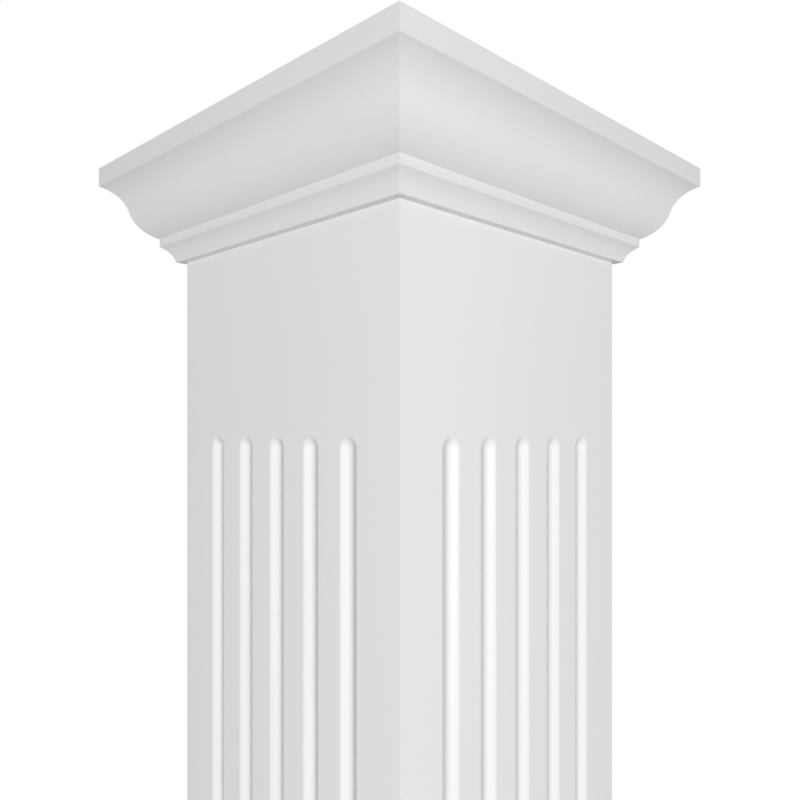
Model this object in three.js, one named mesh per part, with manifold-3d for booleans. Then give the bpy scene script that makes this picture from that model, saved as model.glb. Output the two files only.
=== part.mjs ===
// A square porch column, 8 in across and 8 ft tall, built up from white cellular PVC trim.
// Four boards are mitred along their long edges into a hollow shaft that goes round a post.
// Five stopped flutes are routed in each board with a tapered round-nosed cutter.
// Four mitred lengths of crown moulding make the capital.
// Four plain plinth boards with four lengths of cove moulding on top make the base.
// Millimetres, +Z up. The origin is the middle of the column's underside.
import * as THREE from "three";
import { mergeVertices } from "three/addons/utils/BufferGeometryUtils.js";
import Module from "manifold-3d";

const wasm = await Module();
wasm.setup();

// Driving dimensions
const COLUMN_HEIGHT = 2438.4;
const SHAFT_WIDTH = 203.2;
const BOARD_THICKNESS = 19.05;
const GLUE_GAP = 0.3;

const CAPITAL_HEIGHT = 63.8;
const CAPITAL_PROJECTION = 42.2;
const TOP_FILLET_HEIGHT = 12.4;
const CYMA_HEIGHT = 35.7;
const CYMA_RADIUS = 26.4;
const LOWER_FILLET_HEIGHT = 5.3;
const LOWER_FILLET_PROJECTION = 13.15;
const SOFFIT_WIDTH = 5.2;
const COVE_RADIUS = 16.5;

const PLINTH_HEIGHT = 139.7;
const PLINTH_THICKNESS = 25.4;
const BASE_COVE_SIZE = 19.05;
const BASE_COVE_RADIUS = 21.5;

const FLUTES_PER_FACE = 5;
const FLUTE_WIDTH = 15;
const FLUTE_NOSE_RADIUS = 5;
const FLUTE_LIP_RADIUS = 4;
const FLUTE_WALL_SLOPE = (31 * Math.PI) / 180;
const FLUTE_PITCH = 31.6;
const FLUTE_STOP = 116.8;

// Sizes that follow from them
const HALF_WIDTH = SHAFT_WIDTH / 2;
const BASE_HEIGHT = PLINTH_HEIGHT + BASE_COVE_SIZE;
const FLUTE_TOP = COLUMN_HEIGHT - CAPITAL_HEIGHT - FLUTE_STOP;
const FLUTE_BOTTOM = BASE_HEIGHT + FLUTE_STOP;
const FLUTE_ARCS = FLUTE_NOSE_RADIUS + FLUTE_LIP_RADIUS;
const FLUTE_WALL_WIDTH = FLUTE_WIDTH / 2 - FLUTE_ARCS * Math.sin(FLUTE_WALL_SLOPE);
const FLUTE_WALL_DROP = FLUTE_WALL_WIDTH * Math.tan(FLUTE_WALL_SLOPE);
const FLUTE_DEPTH = FLUTE_ARCS * (1 - Math.cos(FLUTE_WALL_SLOPE)) + FLUTE_WALL_DROP;

// How finely curves are faceted
const ARC_STEPS = 8;
const FLUTE_ARC_STEPS = 4;
const FLUTE_END_STEPS = 16;

const pvc = (color) => new THREE.MeshStandardMaterial({ color, roughness: 0.36, metalness: 0 });
const shaftMaterial = pvc(0xe7e7e7);
const capitalMaterial = pvc(0xe3e3e3);
const baseMaterial = pvc(0xe7e7e7);

// Points on the arc of a given radius from one point to another, leaving out the first one.
// The arc bulges to the right of the way it travels when bulge is 1, and to the left when it is -1.
function arcTo(from, to, radius, bulge, steps = ARC_STEPS) {
  const chord = new THREE.Vector2().subVectors(to, from);
  const rise = Math.sqrt(radius ** 2 - chord.lengthSq() / 4);
  const left = new THREE.Vector2(-chord.y, chord.x).normalize();
  const centre = new THREE.Vector2().addVectors(from, to).multiplyScalar(0.5);
  centre.addScaledVector(left, rise * bulge);
  const sweep = 2 * bulge * Math.asin(chord.length() / (2 * radius));
  return Array.from({ length: steps }, (_, step) =>
    from.clone().rotateAround(centre, (sweep * (step + 1)) / steps),
  );
}

// A length of moulding on the front face, mitred at 45 degrees where it turns each corner.
// The profile's x is the distance out from the shaft's face, and its y is the height.
function mitredLength(profile) {
  const run = new THREE.ExtrudeGeometry(new THREE.Shape(profile), {
    depth: 1,
    bevelEnabled: false,
  });
  const position = run.getAttribute("position");
  const endTrim = GLUE_GAP / Math.SQRT2;
  for (let i = 0; i < position.count; i++) {
    const outward = HALF_WIDTH + position.getX(i);
    const along = 1 - 2 * position.getZ(i);
    position.setXYZ(i, along * (outward - endTrim), -outward, position.getY(i));
  }
  return run;
}

function rectangle(near, far, bottom, top) {
  return [
    new THREE.Vector2(near, bottom),
    new THREE.Vector2(far, bottom),
    new THREE.Vector2(far, top),
    new THREE.Vector2(near, top),
  ];
}

// The geometry as a solid that can be cut
function solidOf(geometry) {
  const bare = geometry.index ? geometry.toNonIndexed() : geometry.clone();
  bare.deleteAttribute("normal");
  bare.deleteAttribute("uv");
  const merged = mergeVertices(bare, 1e-4);
  const corners = Array.from(merged.index.array);
  const triVerts = [];
  for (let i = 0; i < corners.length; i += 3) {
    const [a, b, c] = corners.slice(i, i + 3);
    if (a !== b && b !== c && c !== a) triVerts.push(a, b, c);
  }
  return new wasm.Manifold(
    new wasm.Mesh({
      numProp: 3,
      vertProperties: merged.getAttribute("position").array,
      triVerts: new Uint32Array(triVerts),
    }),
  );
}

function geometryOf(solid) {
  const mesh = solid.getMesh();
  const geometry = new THREE.BufferGeometry();
  geometry.setAttribute("position", new THREE.BufferAttribute(mesh.vertProperties, 3));
  geometry.setIndex(new THREE.BufferAttribute(mesh.triVerts, 1));
  geometry.computeVertexNormals();
  return geometry;
}

// Half of a flute's section, from its edge to its middle. The y is the depth below the board's face.
// The face turns down over an eased lip to a straight sloping wall, which runs into the round bottom.
function fluteProfile() {
  const edge = new THREE.Vector2(FLUTE_WIDTH / 2, 0);
  const bottom = new THREE.Vector2(0, FLUTE_DEPTH);
  const wallFoot = new THREE.Vector2(0, FLUTE_DEPTH - FLUTE_NOSE_RADIUS);
  wallFoot.x += FLUTE_NOSE_RADIUS * Math.sin(FLUTE_WALL_SLOPE);
  wallFoot.y += FLUTE_NOSE_RADIUS * Math.cos(FLUTE_WALL_SLOPE);
  const wallHead = new THREE.Vector2(wallFoot.x + FLUTE_WALL_WIDTH, wallFoot.y - FLUTE_WALL_DROP);
  return [
    edge,
    ...arcTo(edge, wallHead, FLUTE_LIP_RADIUS, -1, FLUTE_ARC_STEPS),
    wallFoot,
    ...arcTo(wallFoot, bottom, FLUTE_NOSE_RADIUS, 1, FLUTE_ARC_STEPS),
  ];
}

// One shaft board. Its flutes stop short of the capital and the base in round ends,
// where the section turns half a circle about the flute's middle.
function flutedBoard() {
  let board = solidOf(mitredLength(rectangle(-BOARD_THICKNESS, 0, 0, COLUMN_HEIGHT)));
  const right = fluteProfile();
  const left = right.slice(0, -1).map((point) => new THREE.Vector2(-point.x, point.y));
  const [edge] = right;
  const aboveEdge = new THREE.Vector2(edge.x, -FLUTE_DEPTH);
  const aboveMiddle = new THREE.Vector2(0, -FLUTE_DEPTH);
  const section = [...right, ...left.reverse(), new THREE.Vector2(-edge.x, -FLUTE_DEPTH), aboveEdge];
  const runBottom = FLUTE_BOTTOM + edge.x;
  const runTop = FLUTE_TOP - edge.x;
  for (let i = 0; i < FLUTES_PER_FACE; i++) {
    const across = (i - (FLUTES_PER_FACE - 1) / 2) * FLUTE_PITCH;
    const run = new THREE.ExtrudeGeometry(new THREE.Shape(section), {
      depth: runTop - runBottom,
      bevelEnabled: false,
    });
    run.translate(across, -HALF_WIDTH, runBottom);
    board = board.subtract(solidOf(run));
    for (const height of [runBottom, runTop]) {
      const end = new THREE.LatheGeometry([aboveMiddle, aboveEdge, ...right], FLUTE_END_STEPS);
      end.translate(across, -HALF_WIDTH, height);
      board = board.subtract(solidOf(end));
    }
  }
  return geometryOf(board);
}

// Crown moulding, from the soffit up: a small cove, a fillet, a cyma and the top fillet.
// The cyma is two equal arcs that meet at its middle, the lower one round and the upper one hollow.
function capitalProfile() {
  const bottom = COLUMN_HEIGHT - CAPITAL_HEIGHT;
  const cymaTop = COLUMN_HEIGHT - TOP_FILLET_HEIGHT;
  const cymaBottom = cymaTop - CYMA_HEIGHT;
  const coveTop = cymaBottom - LOWER_FILLET_HEIGHT;
  const soffitEdge = new THREE.Vector2(SOFFIT_WIDTH, bottom);
  const coveEdge = new THREE.Vector2(LOWER_FILLET_PROJECTION, coveTop);
  const cymaStart = new THREE.Vector2(LOWER_FILLET_PROJECTION, cymaBottom);
  const cymaEnd = new THREE.Vector2(CAPITAL_PROJECTION, cymaTop);
  const cymaMiddle = new THREE.Vector2().addVectors(cymaStart, cymaEnd).multiplyScalar(0.5);
  return [
    new THREE.Vector2(GLUE_GAP, bottom),
    soffitEdge,
    ...arcTo(soffitEdge, coveEdge, COVE_RADIUS, -1),
    cymaStart,
    ...arcTo(cymaStart, cymaMiddle, CYMA_RADIUS, 1),
    ...arcTo(cymaMiddle, cymaEnd, CYMA_RADIUS, -1),
    new THREE.Vector2(CAPITAL_PROJECTION, COLUMN_HEIGHT),
    new THREE.Vector2(GLUE_GAP, COLUMN_HEIGHT),
  ];
}

function plinthProfile() {
  return rectangle(GLUE_GAP, PLINTH_THICKNESS, 0, PLINTH_HEIGHT);
}

// Cove moulding that stands on the plinth: a fillet, then a cove up to a narrow flat top
function baseCoveProfile() {
  const bottom = PLINTH_HEIGHT + GLUE_GAP;
  const filletEdge = new THREE.Vector2(BASE_COVE_SIZE, PLINTH_HEIGHT + LOWER_FILLET_HEIGHT);
  const topEdge = new THREE.Vector2(SOFFIT_WIDTH, BASE_HEIGHT);
  return [
    new THREE.Vector2(GLUE_GAP, bottom),
    new THREE.Vector2(BASE_COVE_SIZE, bottom),
    filletEdge,
    ...arcTo(filletEdge, topEdge, BASE_COVE_RADIUS, -1),
    new THREE.Vector2(GLUE_GAP, BASE_HEIGHT),
  ];
}

// The pieces of the front side, and the turns that put them on the other three
const pieces = [
  ["shaft_board", flutedBoard(), shaftMaterial],
  ["capital_moulding", mitredLength(capitalProfile()), capitalMaterial],
  ["plinth_board", mitredLength(plinthProfile()), baseMaterial],
  ["base_cove", mitredLength(baseCoveProfile()), baseMaterial],
];
const sides = ["front", "right", "back", "left"];

const column = new THREE.Group();
sides.forEach((side, quarterTurns) => {
  const face = new THREE.Group();
  face.rotation.z = (quarterTurns * Math.PI) / 2;
  for (const [name, geometry, material] of pieces) {
    const mesh = new THREE.Mesh(geometry, material);
    mesh.name = `${name}_${side}`;
    face.add(mesh);
  }
  column.add(face);
});

export default column;
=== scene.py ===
# A square porch column in white cellular PVC trim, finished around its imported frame.
# Every length is in metres, in the frame's own axes: the front face looks along -Y and +Z is up.
import math

import bmesh
import bpy
from mathutils import Matrix, Vector


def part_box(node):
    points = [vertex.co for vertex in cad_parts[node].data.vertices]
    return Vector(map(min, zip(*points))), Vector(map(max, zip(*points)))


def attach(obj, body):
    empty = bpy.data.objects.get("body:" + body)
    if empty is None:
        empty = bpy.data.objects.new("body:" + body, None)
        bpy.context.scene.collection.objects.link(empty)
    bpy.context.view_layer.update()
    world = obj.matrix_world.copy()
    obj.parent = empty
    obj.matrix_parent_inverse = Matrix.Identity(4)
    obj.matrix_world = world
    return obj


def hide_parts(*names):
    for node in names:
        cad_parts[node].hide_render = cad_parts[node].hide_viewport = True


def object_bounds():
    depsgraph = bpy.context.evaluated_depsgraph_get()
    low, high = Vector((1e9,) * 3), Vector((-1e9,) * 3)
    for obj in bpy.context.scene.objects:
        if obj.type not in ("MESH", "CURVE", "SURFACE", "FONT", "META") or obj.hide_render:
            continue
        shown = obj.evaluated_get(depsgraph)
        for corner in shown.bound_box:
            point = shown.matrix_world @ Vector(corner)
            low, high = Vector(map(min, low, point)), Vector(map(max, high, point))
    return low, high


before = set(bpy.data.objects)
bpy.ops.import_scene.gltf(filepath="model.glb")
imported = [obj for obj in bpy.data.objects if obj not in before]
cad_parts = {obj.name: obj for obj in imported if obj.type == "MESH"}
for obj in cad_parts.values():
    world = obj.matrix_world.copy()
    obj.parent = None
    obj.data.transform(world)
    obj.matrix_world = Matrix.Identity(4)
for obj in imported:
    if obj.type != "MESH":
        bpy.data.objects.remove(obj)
cad_low, cad_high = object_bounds()

# Camera
# It stands level, close in front of the corner between the front and right faces, a little below
# the capital. The photograph's uprights stay parallel, so the view is raised by shifting the lens
# and not by tilting it.
photo_side = 800
horizon_row = 435.2
corner_column = 399.6
corner_azimuth = math.radians(45.0)
camera_to_axis = 0.526
camera_below_top = 0.1805

camera_data = bpy.data.cameras.new("studio_camera")
camera_data.lens = 35.0
camera_data.sensor_width = 36.0
camera_data.shift_x = (photo_side / 2 - corner_column) / photo_side
camera_data.shift_y = (horizon_row - photo_side / 2) / photo_side
camera_data.clip_start = 0.02
camera = bpy.data.objects.new("studio_camera", camera_data)
camera.rotation_euler = (math.radians(90.0), 0.0, corner_azimuth)
camera.location = (
    camera_to_axis * math.sin(corner_azimuth),
    -camera_to_axis * math.cos(corner_azimuth),
    cad_high.z - camera_below_top,
)
bpy.context.scene.collection.objects.link(camera)
bpy.context.scene.camera = camera

# Studio light
# Two soft boxes stand level with the camera, the stronger on its right, so that the capital throws
# no shadow on the shaft. A third shapes the far sides, a fourth hangs overhead, and two spots
# reach the foot alone. The room is evenly white.
white = (1.0, 1.0, 1.0, 1.0)
room_strength = 0.315
lamp_distance = 3.0
foot_spot_height = 0.4
foot_spot_cone = math.radians(42.0)
foot_spot_softness = 0.15

bpy.context.scene.view_settings.view_transform = "Standard"
bpy.context.scene.view_settings.look = "None"

room = bpy.data.worlds.new("white_room")
room.use_nodes = True
bpy.context.scene.world = room
room_nodes = room.node_tree.nodes
room_links = room.node_tree.links
room_nodes.clear()
room_output = room_nodes.new("ShaderNodeOutputWorld")
room_choice = room_nodes.new("ShaderNodeMixShader")
room_ray = room_nodes.new("ShaderNodeLightPath")
room_light = room_nodes.new("ShaderNodeBackground")
room_light.inputs["Color"].default_value = white
room_light.inputs["Strength"].default_value = room_strength
room_seen = room_nodes.new("ShaderNodeBackground")
room_seen.inputs["Color"].default_value = white
room_seen.inputs["Strength"].default_value = 1.0
room_links.new(room_ray.outputs["Is Camera Ray"], room_choice.inputs["Fac"])
room_links.new(room_light.outputs["Background"], room_choice.inputs[1])
room_links.new(room_seen.outputs["Background"], room_choice.inputs[2])
room_links.new(room_choice.outputs["Shader"], room_output.inputs["Surface"])


def place_lamp(light, azimuth, elevation, height):
    """Stands a lamp off from the column's axis and faces it. Its angles are in degrees."""
    lamp = bpy.data.objects.new(light.name, light)
    turn = math.radians(azimuth)
    rise = math.radians(elevation)
    aim = Vector(
        (math.sin(turn) * math.cos(rise), -math.cos(turn) * math.cos(rise), math.sin(rise))
    )
    lamp.location = Vector((0.0, 0.0, height)) + aim * lamp_distance
    lamp.rotation_euler = aim.to_track_quat("Z", "Y").to_euler()
    bpy.context.scene.collection.objects.link(lamp)
    return lamp


def hang_panel(name, azimuth, elevation, side, watts):
    """A square soft box that faces the axis at the camera's height."""
    panel = bpy.data.lights.new(name, "AREA")
    panel.shape = "SQUARE"
    panel.size = side
    panel.energy = watts
    lamp = place_lamp(panel, azimuth, elevation, camera.location.z)
    lamp.visible_camera = False


def aim_foot_spot(name, azimuth, watts):
    """A soft-edged spot that stands level with the foot."""
    beam = bpy.data.lights.new(name, "SPOT")
    beam.shadow_soft_size = foot_spot_softness
    beam.spot_size = foot_spot_cone
    beam.spot_blend = 1.0
    beam.energy = watts
    place_lamp(beam, azimuth, 0.0, foot_spot_height)


hang_panel("right_panel", azimuth=60.0, elevation=0.0, side=0.3, watts=45.8)
hang_panel("left_panel", azimuth=30.0, elevation=0.0, side=0.3, watts=28.0)
hang_panel("back_panel", azimuth=240.0, elevation=10.0, side=0.6, watts=44.0)
hang_panel("top_panel", azimuth=0.0, elevation=90.0, side=0.15, watts=20.0)
aim_foot_spot("right_foot_spot", azimuth=60.0, watts=62.0)
aim_foot_spot("left_foot_spot", azimuth=30.0, watts=34.0)

# Floor
# A plain pale studio floor. It is a wide disc whose edge fades into the white room,
# so that it lies below the photograph's frame and still carries the column in every other view.
floor_radius = 4.0
floor_clear_radius = 2.0
floor_grey = 0.8
floor_roughness = 0.7

floor_material = bpy.data.materials.new("studio_floor")
floor_material.use_nodes = True
floor_nodes = floor_material.node_tree.nodes
floor_links = floor_material.node_tree.links
floor_surface = floor_nodes["Principled BSDF"]
floor_surface.inputs["Base Color"].default_value = (floor_grey, floor_grey, floor_grey, 1.0)
floor_surface.inputs["Roughness"].default_value = floor_roughness
floor_place = floor_nodes.new("ShaderNodeTexCoord")
floor_reach = floor_nodes.new("ShaderNodeVectorMath")
floor_reach.operation = "LENGTH"
floor_fade = floor_nodes.new("ShaderNodeMapRange")
floor_fade.interpolation_type = "SMOOTHSTEP"
floor_fade.inputs["From Min"].default_value = floor_clear_radius
floor_fade.inputs["From Max"].default_value = floor_radius
floor_fade.inputs["To Min"].default_value = 1.0
floor_fade.inputs["To Max"].default_value = 0.0
floor_links.new(floor_place.outputs["Object"], floor_reach.inputs[0])
floor_links.new(floor_reach.outputs["Value"], floor_fade.inputs["Value"])
floor_links.new(floor_fade.outputs["Result"], floor_surface.inputs["Alpha"])

floor_shape = bmesh.new()
bmesh.ops.create_circle(floor_shape, cap_ends=True, segments=96, radius=floor_radius)
floor_mesh = bpy.data.meshes.new("studio_floor")
floor_shape.to_mesh(floor_mesh)
floor_shape.free()
floor_mesh.materials.append(floor_material)
floor = bpy.data.objects.new("studio_floor", floor_mesh)
bpy.context.scene.collection.objects.link(floor)

# Shaft boards
# Four 19 mm sheets of cellular PVC, mitred along their long edges and glued into a hollow square
# shaft. A tapered round-nosed cutter runs five stopped flutes down each face before the boards
# are glued up.
shaft_low, shaft_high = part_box("shaft_board_front")
half_shaft = -shaft_low.y
board_thickness = shaft_high.y - shaft_low.y
capital_low, capital_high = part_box("capital_moulding_front")
base_low, base_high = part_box("base_cove_front")
glue_line = 0.00002
board_arris = 0.00015
arris_margin = 0.002
crease_angle = math.radians(30.0)
flute_count = 5
flute_pitch = 0.0316
flute_width = 0.015
nose_radius = 0.005
lip_radius = 0.004
wall_slope = math.radians(31.0)
flute_stop = 0.1168
wall_width = flute_width / 2 - (nose_radius + lip_radius) * math.sin(wall_slope)
wall_drop = wall_width * math.tan(wall_slope)
flute_depth = (nose_radius + lip_radius) * (1 - math.cos(wall_slope)) + wall_drop
flute_top = capital_low.z - flute_stop
flute_bottom = base_high.z + flute_stop

# How finely the flutes are faceted, and how near two points are that count as one
nose_steps = 14
lip_steps = 10
end_steps = 16
merge_reach = 0.00001

# Which of a piece's materials a face takes where a tool has left it. Any other face takes the
# first one, its skin.
sawn = 1
routed = 2


def open_group(name, inputs, outputs):
    """A shader node group with its sockets made. Returns its tree and its two end nodes."""
    group = bpy.data.node_groups.new(name, "ShaderNodeTree")
    for socket_name, kind in inputs.items():
        group.interface.new_socket(name=socket_name, in_out="INPUT", socket_type=kind)
    for socket_name in outputs:
        group.interface.new_socket(
            name=socket_name, in_out="OUTPUT", socket_type="NodeSocketFloat"
        )
    return group, group.nodes.new("NodeGroupInput"), group.nodes.new("NodeGroupOutput")


def feed(tree, socket, value):
    """Gives a socket its value, from another socket or as a number."""
    if isinstance(value, bpy.types.NodeSocket):
        tree.links.new(value, socket)
    else:
        socket.default_value = value


def add_math(tree, operation, first, second):
    node = tree.nodes.new("ShaderNodeMath")
    node.operation = operation
    feed(tree, node.inputs[0], first)
    feed(tree, node.inputs[1], second)
    return node.outputs["Value"]


def add_noise(tree, dimensions, place, scale, detail):
    """Noise over a place in space, or along a line when it has one dimension."""
    node = tree.nodes.new("ShaderNodeTexNoise")
    node.noise_dimensions = dimensions
    feed(tree, node.inputs["W" if dimensions == "1D" else "Vector"], place)
    feed(tree, node.inputs["Scale"], scale)
    node.inputs["Detail"].default_value = detail
    return node.outputs["Fac"]


def add_range(tree, value, span, new_span):
    """Carries a value over from one span of numbers to another."""
    node = tree.nodes.new("ShaderNodeMapRange")
    feed(tree, node.inputs["Value"], value)
    node.inputs["From Min"].default_value, node.inputs["From Max"].default_value = span
    node.inputs["To Min"].default_value, node.inputs["To Max"].default_value = new_span
    return node.outputs["Result"]


# The body of the plastic: slow faint clouds in its colour and gloss, and the fine peel of its
# cooled skin. The noise seldom leaves its middle span.
middle_of_noise = (0.3, 0.7)
body, body_in, body_out = open_group(
    "pvc_body",
    {
        "Place": "NodeSocketVector",
        "Cloud Scale": "NodeSocketVector",
        "Peel Scale": "NodeSocketFloat",
    },
    ("Shade", "Gloss", "Peel"),
)
cloud_place = body.nodes.new("ShaderNodeVectorMath")
cloud_place.operation = "MULTIPLY"
body.links.new(body_in.outputs["Place"], cloud_place.inputs[0])
body.links.new(body_in.outputs["Cloud Scale"], cloud_place.inputs[1])
clouds = add_noise(body, "3D", cloud_place.outputs["Vector"], scale=1.0, detail=2.0)
gloss = add_noise(body, "3D", cloud_place.outputs["Vector"], scale=3.7, detail=2.0)
peel = add_noise(
    body, "3D", body_in.outputs["Place"], scale=body_in.outputs["Peel Scale"], detail=1.0
)
cloud_shade = add_range(body, clouds, middle_of_noise, (0.986, 1.0))
body.links.new(cloud_shade, body_out.inputs["Shade"])
body.links.new(add_range(body, gloss, middle_of_noise, (0.0, 1.0)), body_out.inputs["Gloss"])
body.links.new(peel, body_out.inputs["Peel"])

# The lines that a cutter, a saw or a die leaves along its way
tool_lines, lines_in, lines_out = open_group(
    "tool_lines", {"Track": "NodeSocketFloat", "Spacing": "NodeSocketFloat"}, ("Lines",)
)
line_number = add_math(
    tool_lines, "DIVIDE", lines_in.outputs["Track"], lines_in.outputs["Spacing"]
)
line_noise = add_noise(tool_lines, "1D", line_number, scale=1.0, detail=3.0)
tool_lines.links.new(line_noise, lines_out.inputs["Lines"])

# The plastic's small bubbles, where a cut opens them. Their darkening is painted shade in the open
# pits, and their depth is a real bump.
bubble_edge = (0.15, 0.4)
open_bubbles, bubbles_in, bubbles_out = open_group(
    "open_bubbles", {"Place": "NodeSocketVector", "Scale": "NodeSocketFloat"}, ("Bubbles",)
)
bubble = open_bubbles.nodes.new("ShaderNodeTexVoronoi")
open_bubbles.links.new(bubbles_in.outputs["Place"], bubble.inputs["Vector"])
open_bubbles.links.new(bubbles_in.outputs["Scale"], bubble.inputs["Scale"])
pits = add_range(open_bubbles, bubble.outputs["Distance"], bubble_edge, (1.0, 0.0))
open_bubbles.links.new(pits, bubbles_out.inputs["Bubbles"])


def add_group(tree, group):
    node = tree.nodes.new("ShaderNodeGroup")
    node.node_tree = group
    return node


def lay_marks(tree, shade, height, mark, darker, rise):
    """Darkens a shade and lifts a height as far as a mark is full, and returns both."""
    kept = add_math(tree, "SUBTRACT", 1.0, add_math(tree, "MULTIPLY", mark, darker))
    marked_shade = add_math(tree, "MULTIPLY", shade, kept)
    marked_height = add_math(tree, "ADD", height, add_math(tree, "MULTIPLY", mark, rise))
    return marked_shade, marked_height


def new_pvc(name, grey, roughness, cloud_scale, peel_scale, peel_height, lines=None, bubbles=None):
    """White cellular PVC, with a tool's lines and open bubbles where they are given.

    Lines have the track that their tool ran along, their spacing, and how much they darken and
    rise. Bubbles have a scale, how much painted shade darkens their pits, and how deep they are.
    """
    pvc = bpy.data.materials.new(name)
    pvc.use_nodes = True
    tree = pvc.node_tree
    surface = tree.nodes["Principled BSDF"]
    place = tree.nodes.new("ShaderNodeTexCoord").outputs["Object"]
    own_body = add_group(tree, body)
    tree.links.new(place, own_body.inputs["Place"])
    own_body.inputs["Cloud Scale"].default_value = cloud_scale
    own_body.inputs["Peel Scale"].default_value = peel_scale
    shade = add_math(tree, "MULTIPLY", own_body.outputs["Shade"], grey)
    height = add_math(tree, "MULTIPLY", own_body.outputs["Peel"], peel_height)
    if lines:
        own_lines = add_group(tree, tool_lines)
        tree.links.new(lines["track"](tree), own_lines.inputs["Track"])
        own_lines.inputs["Spacing"].default_value = lines["spacing"]
        mark = own_lines.outputs["Lines"]
        shade, height = lay_marks(tree, shade, height, mark, lines["darker"], lines["rise"])
    if bubbles:
        own_bubbles = add_group(tree, open_bubbles)
        tree.links.new(place, own_bubbles.inputs["Place"])
        own_bubbles.inputs["Scale"].default_value = bubbles["scale"]
        mark = own_bubbles.outputs["Bubbles"]
        # The bubbles' darkening is painted shade in their pits. Their depth is a real bump.
        shade, height = lay_marks(tree, shade, height, mark, bubbles["darker"], -bubbles["depth"])
    bump = tree.nodes.new("ShaderNodeBump")
    bump.inputs["Strength"].default_value = 1.0
    bump.inputs["Distance"].default_value = 1.0
    tree.links.new(height, bump.inputs["Height"])
    tree.links.new(shade, surface.inputs["Base Color"])
    cloudy_roughness = add_range(tree, own_body.outputs["Gloss"], (0.0, 1.0), roughness)
    tree.links.new(cloudy_roughness, surface.inputs["Roughness"])
    tree.links.new(bump.outputs["Normal"], surface.inputs["Normal"])
    return pvc


def read_attribute(tree, name):
    kept = tree.nodes.new("ShaderNodeAttribute")
    kept.attribute_name = name
    return kept.outputs["Fac"]


def along_cutter(tree):
    """How far a place in a flute lies from the line that the cutter's nose ran along."""
    return read_attribute(tree, "cutter_track")


def along_board(tree):
    """How far a place lies from the middle of its own side, so that saw lines cross board ends."""
    place = tree.nodes.new("ShaderNodeTexCoord").outputs["Object"]
    parts = tree.nodes.new("ShaderNodeSeparateXYZ")
    tree.links.new(place, parts.inputs["Vector"])
    across_x = add_math(tree, "ABSOLUTE", parts.outputs["X"], 0.0)
    across_y = add_math(tree, "ABSOLUTE", parts.outputs["Y"], 0.0)
    return add_math(tree, "MINIMUM", across_x, across_y)


sheet_pvc = new_pvc(
    "sheet_pvc",
    grey=0.806,
    roughness=(0.32, 0.4),
    cloud_scale=(9.0, 9.0, 2.5),
    peel_scale=700.0,
    peel_height=0.000012,
)
routed_pvc = new_pvc(
    "routed_pvc",
    grey=0.8,
    roughness=(0.37, 0.43),
    cloud_scale=(9.0, 9.0, 2.5),
    peel_scale=1500.0,
    peel_height=0.000003,
    lines={"track": along_cutter, "spacing": 0.0011, "darker": 0.03, "rise": 0.00003},
    bubbles={"scale": 2500.0, "darker": 0.03, "depth": 0.000012},
)
sawn_pvc = new_pvc(
    "sawn_pvc",
    grey=0.8,
    roughness=(0.5, 0.6),
    cloud_scale=(14.0, 14.0, 14.0),
    peel_scale=1500.0,
    peel_height=0.000004,
    lines={"track": along_board, "spacing": 0.0016, "darker": 0.14, "rise": 0.00012},
    bubbles={"scale": 1600.0, "darker": 0.16, "depth": 0.00008},
)


def verts_of(geometry):
    return [part for part in geometry if isinstance(part, bmesh.types.BMVert)]


def edges_of(geometry):
    return [part for part in geometry if isinstance(part, bmesh.types.BMEdge)]


def fluted_strip():
    """A strip of a board's face with one flute in it, stopped in round ends.

    Its section has a round bottom, sloping walls and eased lips. A quarter of the strip is made
    and mirrored. Each vertex keeps its distance from the flute's middle line.
    """
    strip = bmesh.new()
    track = strip.verts.layers.float.new("cutter_track")
    run_top = flute_top - flute_width / 2
    middle = Vector((0.0, 0.0, (flute_top + flute_bottom) / 2))
    centre = Vector((0.0, flute_depth - nose_radius - half_shaft, run_top))
    lip_centre = Vector((flute_width / 2, lip_radius - half_shaft, run_top))
    nose = strip.verts.new(centre + Vector((0.0, nose_radius, 0.0)))
    wall_foot = bmesh.ops.spin(
        strip, geom=[nose], cent=centre, axis=(0, 0, 1), angle=-wall_slope, steps=nose_steps
    )["geom_last"]
    wall_head = bmesh.ops.extrude_vert_indiv(strip, verts=verts_of(wall_foot))["verts"]
    bmesh.ops.translate(strip, verts=wall_head, vec=(wall_width, -wall_drop, 0.0))
    bmesh.ops.spin(
        strip, geom=wall_head, cent=lip_centre, axis=(0, 0, 1), angle=wall_slope, steps=lip_steps
    )
    for vert in strip.verts:
        vert[track] = vert.co.x
    section = list(strip.verts) + list(strip.edges)

    run = bmesh.ops.extrude_edge_only(strip, edges=edges_of(section))["geom"]
    bmesh.ops.translate(strip, verts=verts_of(run), vec=(0.0, 0.0, middle.z - run_top))
    bmesh.ops.spin(
        strip, geom=section, cent=centre, axis=(0, 1, 0), angle=-math.pi / 2, steps=end_steps
    )
    bmesh.ops.remove_doubles(strip, verts=strip.verts, dist=merge_reach)

    just_below_face = merge_reach / 4 - half_shaft
    rim = [edge for edge in strip.edges if max(vert.co.y for vert in edge.verts) < just_below_face]
    flat = verts_of(bmesh.ops.extrude_edge_only(strip, edges=rim)["geom"])
    for vert in flat:
        past_run = vert.co.z - run_top
        if past_run > merge_reach:
            grow = flute_pitch / 2 / max(past_run, vert.co.x)
            vert.co.x *= grow
            vert.co.z = run_top + past_run * grow
        else:
            vert.co.x = flute_pitch / 2
    for axis in ("X", "Z"):
        bmesh.ops.mirror(
            strip,
            geom=list(strip.verts) + list(strip.edges) + list(strip.faces),
            matrix=Matrix.Translation(-middle),
            axis=axis,
            merge_dist=merge_reach,
        )
        bmesh.ops.remove_doubles(strip, verts=strip.verts, dist=merge_reach)
    bmesh.ops.recalc_face_normals(strip, faces=strip.faces)
    return strip


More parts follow.
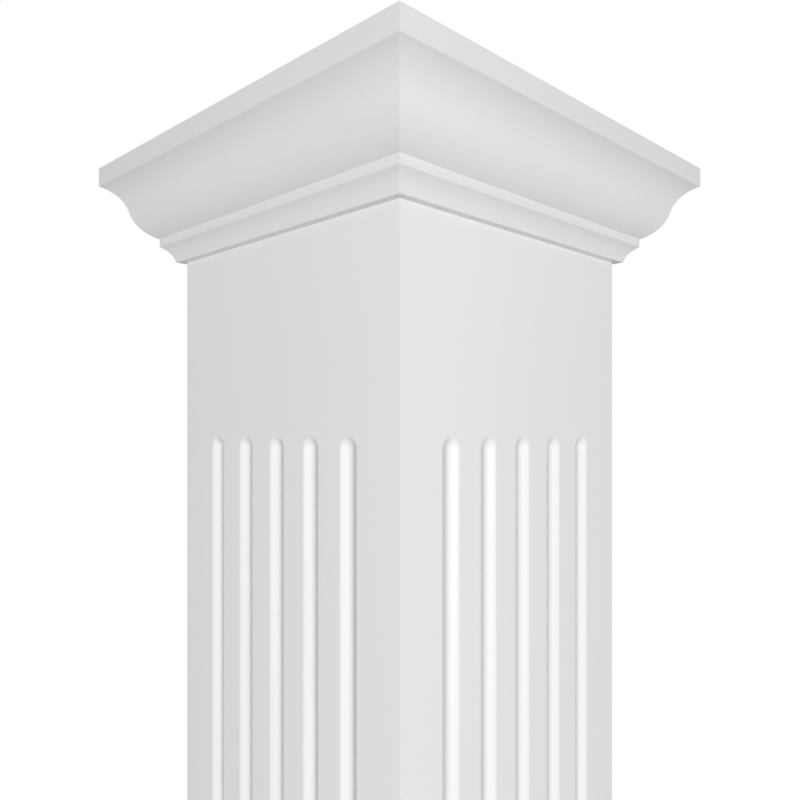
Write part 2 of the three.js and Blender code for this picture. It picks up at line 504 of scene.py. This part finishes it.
def carry_out(board, half_width, low, high):
    """Carries the flat face on from the rectangle that it has reached to a larger one."""
    edges = [edge for edge in board.edges if edge.is_boundary]
    ring = verts_of(bmesh.ops.extrude_edge_only(board, edges=edges)["geom"])
    reached = max(vert.co.x for vert in ring)
    reached_low = min(vert.co.z for vert in ring)
    reached_high = max(vert.co.z for vert in ring)
    for vert in ring:
        share = (vert.co.z - reached_low) / (reached_high - reached_low)
        vert.co.x *= half_width / reached
        vert.co.z = low + share * (high - low)


def soften(solid, edges, arris, segments):
    """Takes the sharpness off a solid's edges."""
    bmesh.ops.bevel(
        solid,
        geom=edges,
        offset=arris,
        segments=segments,
        profile=0.5,
        affect="EDGES",
        material=-1,
    )


def fluted_board():
    """The front board as a closed solid, with its mitres cut to the inside face."""
    board = fluted_strip()
    strip = list(board.verts) + list(board.edges) + list(board.faces)
    first_flute = -flute_pitch * (flute_count - 1) / 2
    bmesh.ops.translate(board, verts=board.verts, vec=(first_flute, 0.0, 0.0))
    for _ in range(flute_count - 1):
        strip = bmesh.ops.duplicate(board, geom=strip)["geom"]
        bmesh.ops.translate(board, verts=verts_of(strip), vec=(flute_pitch, 0.0, 0.0))
    bmesh.ops.remove_doubles(board, verts=board.verts, dist=merge_reach)
    half_face = half_shaft - glue_line
    carry_out(board, half_face - arris_margin, arris_margin, shaft_high.z - arris_margin)
    carry_out(board, half_face, 0.0, shaft_high.z)

    outer = [edge for edge in board.edges if edge.is_boundary]
    arrises = [
        edge
        for edge in outer
        if min(abs(vert.co.x) for vert in edge.verts) > half_face - merge_reach
    ]
    back = bmesh.ops.extrude_edge_only(board, edges=outer)["geom"]
    for vert in verts_of(back):
        vert.co.y += board_thickness
        vert.co.x *= 1 - board_thickness / half_face
    bmesh.ops.contextual_create(board, geom=edges_of(back))
    bmesh.ops.recalc_face_normals(board, faces=board.faces)
    soften(board, arrises, board_arris, segments=2)
    for face in board.faces:
        is_end = abs(face.normal.z) > 0.9
        is_back = face.normal.y > 0.9
        is_mitre = 0.5 < face.normal.y < 0.9
        by_corner = abs(face.calc_center_median().x) > half_face - arris_margin
        is_flat = face.normal.y < -0.9999
        if is_end or is_mitre:
            face.material_index = sawn
        elif not (is_back or by_corner or is_flat):
            face.material_index = routed
    return board


def finish_pieces(kind, made, solid, materials):
    """Turns a front piece to each of the four sides, and puts it there in place of its solid.

    The materials are its skin, what the saw leaves, and what the cutter leaves if it is fluted.
    """
    for quarter_turns, side in enumerate(("front", "right", "back", "left")):
        turn = Matrix.Rotation(quarter_turns * math.radians(90.0), 4, "Z")
        turned = made.copy()
        bmesh.ops.transform(turned, matrix=turn, verts=turned.verts)
        for face in turned.faces:
            face.smooth = True
        for edge in turned.edges:
            edge.smooth = edge.is_manifold and edge.calc_face_angle() < crease_angle
        name = f"{kind}_{side}"
        mesh = bpy.data.meshes.new(name)
        turned.to_mesh(mesh)
        turned.free()
        for material in materials:
            mesh.materials.append(material)
        piece = bpy.data.objects.new(name, mesh)
        bpy.context.scene.collection.objects.link(piece)
        evened = piece.modifiers.new("even_shading", "WEIGHTED_NORMAL")
        evened.keep_sharp = True
        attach(piece, "root")
        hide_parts(f"{solid}_{side}")
    made.free()


finish_pieces(
    "fluted_board", fluted_board(), "shaft_board", (sheet_pvc, sawn_pvc, routed_pvc)
)

# Capital mouldings
# Four lengths of extruded PVC crown moulding, mitred at the corners and glued round the head of
# the shaft. The section rises from a small cove and fillet through a cyma to a square top fillet.
capital_projection = -capital_low.y - half_shaft
top_fillet = 0.0124
cyma_height = 0.0357
cyma_radius = 0.0264
lower_fillet = 0.0053
lower_projection = 0.01315
soffit_width = 0.0052
cove_radius = 0.0165
moulding_arris = 0.00025
section_arc_steps = 20


def along_section(tree):
    """How far a place lies along the section, so that the die's lines run down the moulding."""
    return read_attribute(tree, "die_track")


# Its grey sits a little below the sheet's. This is painted shade for the capital's
# downward-looking faces, and the base coves share it.
shade_darkened_moulding_pvc = new_pvc(
    "shade_darkened_moulding_pvc",
    grey=0.776,
    roughness=(0.33, 0.39),
    cloud_scale=(9.0, 9.0, 9.0),
    peel_scale=900.0,
    peel_height=0.000006,
    lines={"track": along_section, "spacing": 0.0012, "darker": 0.012, "rise": 0.000012},
)


def section_point(outward, height):
    return Vector((0.0, -half_shaft - outward, height))


def start_section(outward, height):
    section = bmesh.new()
    section.verts.layers.float.new("die_track")
    return section, section.verts.new(section_point(outward, height))


def draw_line(section, last, outward, height):
    """Draws the moulding's section on with a straight stretch, and returns its new end."""
    new_end = bmesh.ops.extrude_vert_indiv(section, verts=[last])["verts"][0]
    new_end.co = section_point(outward, height)
    return new_end


def draw_arc(section, last, outward, height, radius, turn):
    """Draws the section on down an arc, round when turn is 1 and hollow when it is -1."""
    target = section_point(outward, height)
    chord = target - last.co
    rise = math.sqrt(radius**2 - chord.length_squared / 4)
    across = Vector((1.0, 0.0, 0.0)).cross(chord).normalized()
    centre = last.co + chord / 2 + across * rise * turn
    angle = 2 * math.asin(chord.length / (2 * radius))
    spun = bmesh.ops.spin(
        section, geom=[last], cent=centre, axis=(turn, 0, 0), angle=angle, steps=section_arc_steps
    )["geom_last"]
    return verts_of(spun)[0]


def mitred_length(section, last, first, arris):
    """Closes a section, carries it out to its mitres, and takes the sharpness off its long edges.

    Each vertex keeps how far along the section it lies. The mitres are sawn.
    """
    track = section.verts.layers.float["die_track"]
    drawn = list(section.verts)
    for vert, following in zip(drawn, drawn[1:]):
        following[track] = vert[track] + (following.co - vert.co).length
    section.edges.new((last, first))
    outline = list(section.edges)
    left_end = list(section.verts)
    right_end = bmesh.ops.extrude_edge_only(section, edges=outline)["geom"]
    for verts, side in ((left_end, -1), (verts_of(right_end), 1)):
        for vert in verts:
            vert.co.x = side * (-vert.co.y - glue_line)
    for end in (outline, edges_of(right_end)):
        bmesh.ops.contextual_create(section, geom=end)
    bmesh.ops.recalc_face_normals(section, faces=section.faces)
    proud = [
        edge
        for edge in section.edges
        if edge.verts[0].co.x * edge.verts[1].co.x < 0
        and edge.calc_face_angle_signed() > crease_angle
    ]
    soften(section, proud, arris, segments=3)
    for face in section.faces:
        if abs(face.normal.x) > 0.5:
            face.material_index = sawn
    return section


def crown_moulding():
    fillet_low = capital_high.z - top_fillet
    cyma_low = fillet_low - cyma_height
    cove_top = cyma_low - lower_fillet
    middle = ((capital_projection + lower_projection) / 2, (fillet_low + cyma_low) / 2)
    section, first = start_section(glue_line, capital_high.z)
    last = draw_line(section, first, capital_projection, capital_high.z)
    last = draw_line(section, last, capital_projection, fillet_low)
    last = draw_arc(section, last, *middle, cyma_radius, turn=-1)
    last = draw_arc(section, last, lower_projection, cyma_low, cyma_radius, turn=1)
    last = draw_line(section, last, lower_projection, cove_top)
    last = draw_arc(section, last, soffit_width, capital_low.z, cove_radius, turn=-1)
    last = draw_line(section, last, glue_line, capital_low.z)
    return mitred_length(section, last, first, moulding_arris)


finish_pieces(
    "crown_moulding", crown_moulding(), "capital_moulding", (shade_darkened_moulding_pvc, sawn_pvc)
)

# Plinth boards
# Four plain 1 in sheets of the same PVC round the foot, mitred at the corners and standing on
# the floor. Their upper and lower ends are sawn.
plinth_low, plinth_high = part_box("plinth_board_front")
plinth_thickness = -plinth_low.y - half_shaft
plinth_arris = 0.0006


def plinth_board():
    section, first = start_section(glue_line, plinth_high.z)
    last = draw_line(section, first, plinth_thickness, plinth_high.z)
    last = draw_line(section, last, plinth_thickness, 0.0)
    last = draw_line(section, last, glue_line, 0.0)
    made = mitred_length(section, last, first, plinth_arris)
    for face in made.faces:
        if abs(face.normal.z) > 0.9:
            face.material_index = sawn
    return made


finish_pieces("plinth", plinth_board(), "plinth_board", (sheet_pvc, sawn_pvc))

# Base coves
# Four lengths of small PVC cove moulding that stand on the plinth boards, mitred at the corners
# and glued to the shaft. The cove rises from a fillet to a narrow flat top.
base_cove_size = -base_low.y - half_shaft
base_cove_radius = 0.0215


def base_cove():
    fillet_top = plinth_high.z + lower_fillet
    section, first = start_section(glue_line, base_high.z)
    last = draw_line(section, first, soffit_width, base_high.z)
    last = draw_arc(section, last, base_cove_size, fillet_top, base_cove_radius, turn=-1)
    last = draw_line(section, last, base_cove_size, plinth_high.z)
    last = draw_line(section, last, glue_line, plinth_high.z)
    return mitred_length(section, last, first, moulding_arris)


finish_pieces("cove_moulding", base_cove(), "base_cove", (shade_darkened_moulding_pvc, sawn_pvc))
